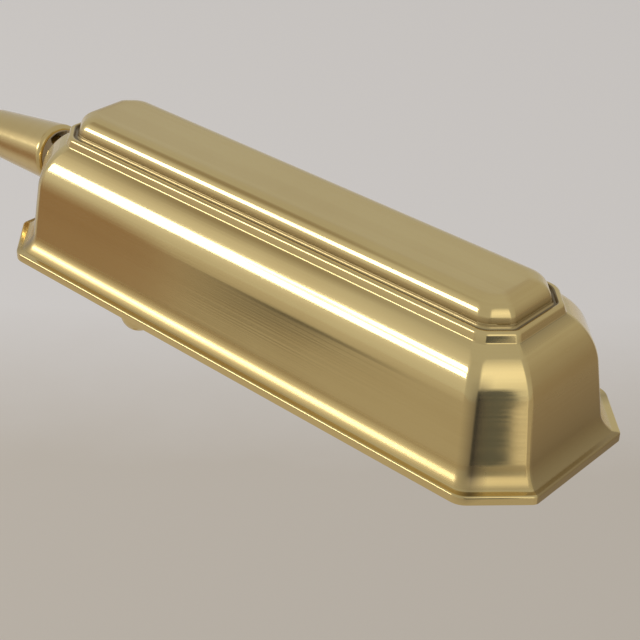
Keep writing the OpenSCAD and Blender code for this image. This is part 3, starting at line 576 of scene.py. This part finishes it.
def satinSteel(name, tone, rough, grain=(900.0, 900.0, 900.0), stainScale=60.0, stainFrom=0.35, uneven=0.16):
    t = newTree(name)
    lines = t.noise(t.place(grain), 1.0)
    stain = t.noise(t.place(), stainScale, 3.0)
    return t.surface({
        "Base Color": t.mix((stain - stainFrom).clip(), tone, toned(tone, 0.7)), "Metallic": 1.0,
        "Roughness": rough + (lines - 0.5) * uneven, "Normal": t.bump(lines, 0.08, 0.0003),
    })


def mouldedPlastic(name, tone, rough, speck, grainScale=1500.0, cloudScale=70.0, uneven=0.14):
    t = newTree(name)
    grain = t.noise(t.place(), grainScale)
    cloud = t.noise(t.place(), cloudScale, 3.0)
    return t.surface({
        "Base Color": t.mix(cloud, tone, toned(tone, speck)),
        "Roughness": rough + (grain - 0.5) * uneven, "Normal": t.bump(grain, 0.12, 0.0003),
    })


def pressedFelt(name, tone, fibreScale=1100.0, tuftScale=160.0):
    t = newTree(name)
    fibre = t.noise(t.place(), fibreScale, 5.0, 0.7)
    tuft = t.noise(t.place(), tuftScale, 3.0)
    pale = (fibre * 0.7 + tuft * 0.5 - 0.25).clip()
    return t.surface({
        "Base Color": t.mix(pale, tone, toned(tone, 2.1)), "Roughness": 0.95, "Sheen Weight": 0.3,
        "Normal": t.bump(fibre + tuft, 0.5, 0.0008),
    })


def castIron(name, tone, rustTone, sandScale=420.0, rustScale=45.0, rustFrom=0.56, uneven=0.2):
    t = newTree(name)
    sand = t.noise(t.place(), sandScale, 5.0, 0.65)
    rust = t.noise(t.place(), rustScale, 4.0)
    return t.surface({
        "Base Color": t.mix(((rust - rustFrom) * 4).clip(), tone, rustTone), "Metallic": 0.35,
        "Roughness": 0.72 + (sand - 0.5) * uneven, "Normal": t.bump(sand, 0.45, 0.0009),
    })


def linerPaper(name, tone, grain=(300.0, 900.0, 900.0)):
    t = newTree(name)
    fibre = t.noise(t.place(grain), 1.0, 4.0, 0.7)
    return t.surface({"Base Color": t.mix(fibre, tone, toned(tone, 0.6)), "Roughness": 0.9,
                      "Normal": t.bump(fibre, 0.3, 0.0005)})


def frostedGlass(name, tone, dimTone, frostScale=900.0, cloudScale=40.0, uneven=0.2):
    t = newTree(name)
    frost = t.noise(t.place(), frostScale, 3.0)
    cloud = t.noise(t.place(), cloudScale)
    return t.surface({
        "Base Color": t.mix(cloud, tone, dimTone), "Roughness": 0.42 + (frost - 0.5) * uneven,
        "Transmission Weight": 0.35, "IOR": 1.5, "Normal": t.bump(frost, 0.1, 0.0003),
    })


steel = satinSteel("satinSteel", (0.56, 0.57, 0.58, 1), 0.30)
finishOf = {  # by material slot
    "steel": steel,
    "lamp_cap": satinSteel("capMetal", (0.72, 0.72, 0.73, 1), 0.26),
    "nylon": mouldedPlastic("nylon", (0.80, 0.77, 0.68, 1), 0.45, 0.88),
    "dark_plastic": mouldedPlastic("darkPlastic", (0.030, 0.026, 0.023, 1), 0.38, 1.5),
    "paper_liner": linerPaper("linerPaper", (0.25, 0.185, 0.125, 1)),
    "felt": pressedFelt("pressedFelt", (0.016, 0.036, 0.022, 1)),
    "cast_weight": castIron("castIron", (0.075, 0.073, 0.072, 1), (0.16, 0.075, 0.035, 1)),
    "bulb_glass": frostedGlass("frostedGlass", (0.95, 0.94, 0.90, 1), (0.88, 0.87, 0.83, 1)),
    "plain_brass": agedBrass, "polished_brass": turnedBrass,
}
brassOf = {  # brass nodes whose polish lines run another way
    "mast_tube": mastBrass, "riser_tube": mastBrass,
    "arm_tube": armBrass, "arm_stop_ring": armBrass, "stem_saddle": armBrass, "shade_stem": armBrass,
    "holder_cap": armBrass, "holder_shell": armBrass,
    "tapered_collar": collarBrass, "pivot_block": collarBrass,
    "lock_knob": knobBrass, "tilt_knob": knobBrass, "pivot_bolt": knobBrass, "arm_knuckle": knobBrass,
    "swivel_fork": knobBrass,
}
slotOf = {p["node"]: p["material_slot"] for p in frame["record"]["subparts"]}
for name, node in nodes.items():
    if name not in ("shade_shell", "base_cover"):
        node.material_slots[0].material = brassOf.get(name, finishOf[slotOf[name]])
print("finishes set on", len(nodes), "nodes")


# knurls and threads, each from one node tree with named sizes
def nodeShape(name, inputs, build):
    tree = bpy.data.node_groups.new(name, "GeometryNodeTree")
    tree.interface.new_socket("Geometry", in_out="OUTPUT", socket_type="NodeSocketGeometry")
    keys = {}
    for label, (kind, value) in inputs.items():
        keys[label] = tree.interface.new_socket(label, in_out="INPUT", socket_type=kind).identifier
    given = tree.nodes.new("NodeGroupInput")

    def add(kind, settings=None, sockets=None):
        node = tree.nodes.new(kind)
        for key, value in (settings or {}).items():
            setattr(node, key, value)
        for key, value in (sockets or {}).items():
            if isinstance(value, bpy.types.NodeSocket):
                tree.links.new(value, node.inputs[key])
            else:
                node.inputs[key].default_value = value
        return node

    last = build(add, given.outputs)
    real = add("GeometryNodeRealizeInstances", None, {0: last})
    coated = add("GeometryNodeSetMaterial", None,
                 {"Geometry": real.outputs[0], "Material": given.outputs["Finish"]})
    tree.links.new(coated.outputs[0], tree.nodes.new("NodeGroupOutput").inputs[0])
    piece = bpy.data.objects.new(name, bpy.data.meshes.new(name))
    scene.collection.objects.link(piece)
    shaper = piece.modifiers.new(name, "NODES")
    shaper.node_group = tree
    for label, (kind, value) in inputs.items():
        shaper[keys[label]] = value
    bpy.context.view_layer.update()
    ready = piece.evaluated_get(bpy.context.evaluated_depsgraph_get())
    made = bpy.data.meshes.new_from_object(ready)
    piece.modifiers.remove(shaper)
    piece.data = made
    return piece


def buildKnurl(add, given):
    ring = add("GeometryNodeMeshCircle", None, {"Vertices": given["Ridges"], "Radius": given["Ring radius"]})
    ridge = add("GeometryNodeMeshCylinder", None, {
        "Vertices": given["Ridge sides"], "Radius": given["Ridge radius"], "Depth": given["Length"]})
    spots = add("GeometryNodeInstanceOnPoints", None,
                {"Points": ring.outputs[0], "Instance": ridge.outputs[0]})
    return spots.outputs[0]


def buildThread(add, given):
    path = add("GeometryNodeCurveSpiral", None, {
        "Resolution": given["Turn steps"], "Rotations": given["Turns"], "Height": given["Length"],
        "Start Radius": given["Core radius"], "End Radius": given["Core radius"]})
    crest = add("GeometryNodeCurvePrimitiveCircle", None,
                {"Resolution": given["Crest sides"], "Radius": given["Crest"]})
    swept = add("GeometryNodeCurveToMesh", None, {
        "Curve": path.outputs[0], "Profile Curve": crest.outputs[0], "Fill Caps": True})
    return swept.outputs[0]


knurlSet = {"ridges": 60, "ridge": 0.42, "sides": 8, "sunk": 0.12, "start": 3.0, "end": 10.3}
threadSet = {"turns": 5.0, "steps": 28, "crest": 0.24, "sides": 4, "core": 2.95, "start": 0.4, "length": 4.2}


def knurledKnob(node, body, s):
    low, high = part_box(node)
    mid = Vector(((low.x + high.x) / 2, high.y - (s["start"] + s["end"]) / 2 * mm, (low.z + high.z) / 2))
    piece = nodeShape(node + "_knurl", {
        "Ridges": ("NodeSocketInt", s["ridges"]),
        "Ridge sides": ("NodeSocketInt", s["sides"]),
        "Ring radius": ("NodeSocketFloat", (high.x - low.x) / 2 - s["sunk"] * mm),
        "Ridge radius": ("NodeSocketFloat", s["ridge"] * mm),
        "Length": ("NodeSocketFloat", (s["end"] - s["start"]) * mm),
        "Finish": ("NodeSocketMaterial", knobBrass),
    }, buildKnurl)
    piece.data.transform(Matrix.Translation(mid) @ Matrix.Rotation(math.pi / 2, 4, "X"))
    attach(piece, body)


def lockThread(s):
    low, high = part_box("lock_knob")
    piece = nodeShape("lock_screw_thread", {
        "Turns": ("NodeSocketFloat", s["turns"]),
        "Turn steps": ("NodeSocketInt", s["steps"]),
        "Core radius": ("NodeSocketFloat", s["core"] * mm),
        "Length": ("NodeSocketFloat", s["length"] * mm),
        "Crest": ("NodeSocketFloat", s["crest"] * mm),
        "Crest sides": ("NodeSocketInt", s["sides"]),
        "Finish": ("NodeSocketMaterial", steel),
    }, buildThread)
    foot = Vector((0, high.y + s["start"] * mm, (low.z + high.z) / 2))
    piece.data.transform(Matrix.Translation(foot) @ Matrix.Rotation(-math.pi / 2, 4, "X"))
    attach(piece, "lock")


knurledKnob("lock_knob", "lock", knurlSet)
knurledKnob("tilt_knob", "tilt_lock", knurlSet)
lockThread(threadSet)
print("knurls and thread made")
